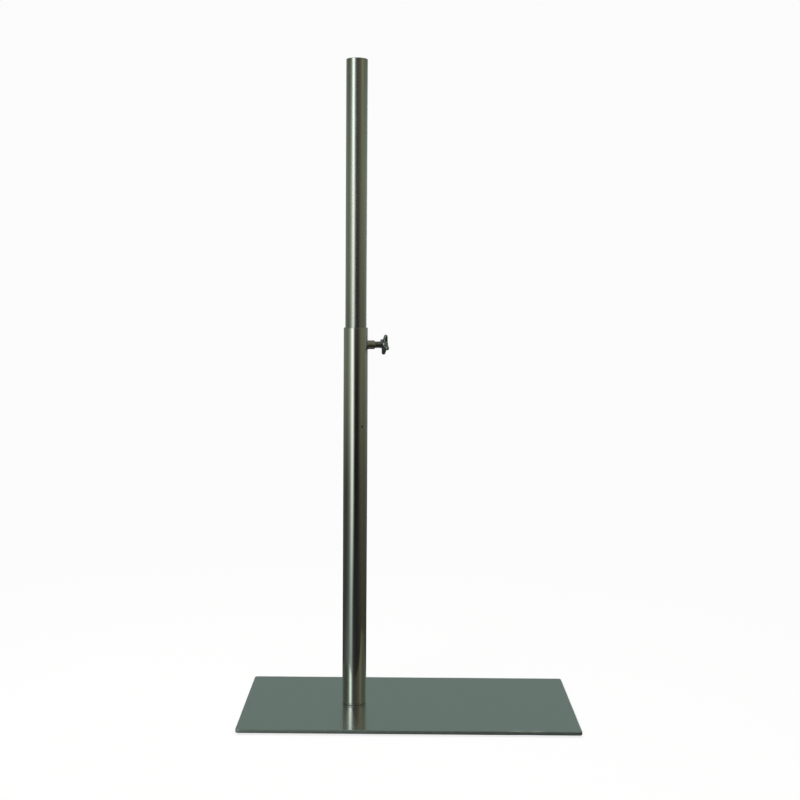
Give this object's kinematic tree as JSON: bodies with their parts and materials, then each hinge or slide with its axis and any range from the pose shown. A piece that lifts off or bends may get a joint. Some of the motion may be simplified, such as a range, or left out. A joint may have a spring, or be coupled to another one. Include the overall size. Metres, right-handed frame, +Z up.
{
  "type": "telescopic pole stand",
  "caption": "Height-adjustable round steel pole stand: a tube that slides and turns in a fixed tube on a flat rectangular base plate, held by a cross-head clamp screw.",
  "frame": {"origin": "on the floor under the centre of the base plate, at the underside of the rubber pads", "axes": "+Z up along the pole, +X along the plate's long side from the pole towards the free end, +Y to the back, along the plate's short side"},
  "size_m": [0.35, 0.17, 0.683],
  "materials": {
    "plate_steel": "polished stainless plate, grey-green reflections",
    "lower_tube_steel": "polished stainless tube with fine drawing lines",
    "upper_tube_steel": "satin stainless tube with fine drawing lines",
    "knob_chrome": "dark bright-plated casting",
    "bolt_steel": "plain machined steel",
    "plug_steel": "turned steel",
    "tip_brass": "turned brass",
    "bush_nylon": "black moulded nylon",
    "pad_rubber": "black rubber bumper"
  },
  "bodies": {
    "stand": {"base_plate": "plate_steel", "pad_front_left": "pad_rubber", "pad_front_right": "pad_rubber", "pad_back_left": "pad_rubber", "pad_back_right": "pad_rubber", "base_bolt": "bolt_steel", "foot_plug": "plug_steel", "lower_tube": "lower_tube_steel", "clamp_boss": "lower_tube_steel"},
    "mast_carrier": {"guide_bush": "bush_nylon"},
    "mast": {"upper_tube": "upper_tube_steel"},
    "clamp_shoe": {"pressure_tip": "tip_brass"},
    "clamp_screw": {"clamp_stud": "bolt_steel", "clamp_knob": "knob_chrome"}
  },
  "joints": [
    {"name": "mast_height", "type": "slide", "parent": "stand", "child": "mast_carrier", "axis": [0, 0, 1], "range_m": [-0.24, 0.065]},
    {"name": "mast_turn", "type": "hinge", "parent": "mast_carrier", "child": "mast", "pos_m": [-0.05833, 0, 0.683], "axis": [0, 0, 1], "continuous": true},
    {"name": "screw_travel", "type": "slide", "parent": "stand", "child": "clamp_shoe", "axis": [0.9455, 0.3256, 0], "range_m": [0, 0.0041]},
    {"name": "screw_turn", "type": "hinge", "parent": "clamp_shoe", "child": "clamp_screw", "pos_m": [-0.05833, 0, 0.39], "axis": [0.9455, 0.3256, 0], "range_deg": [0, 1800]}
  ],
  "couplings": [
    {"joint": "screw_travel", "follows": "screw_turn", "m_per_rad": 0.00012732}
  ]
}
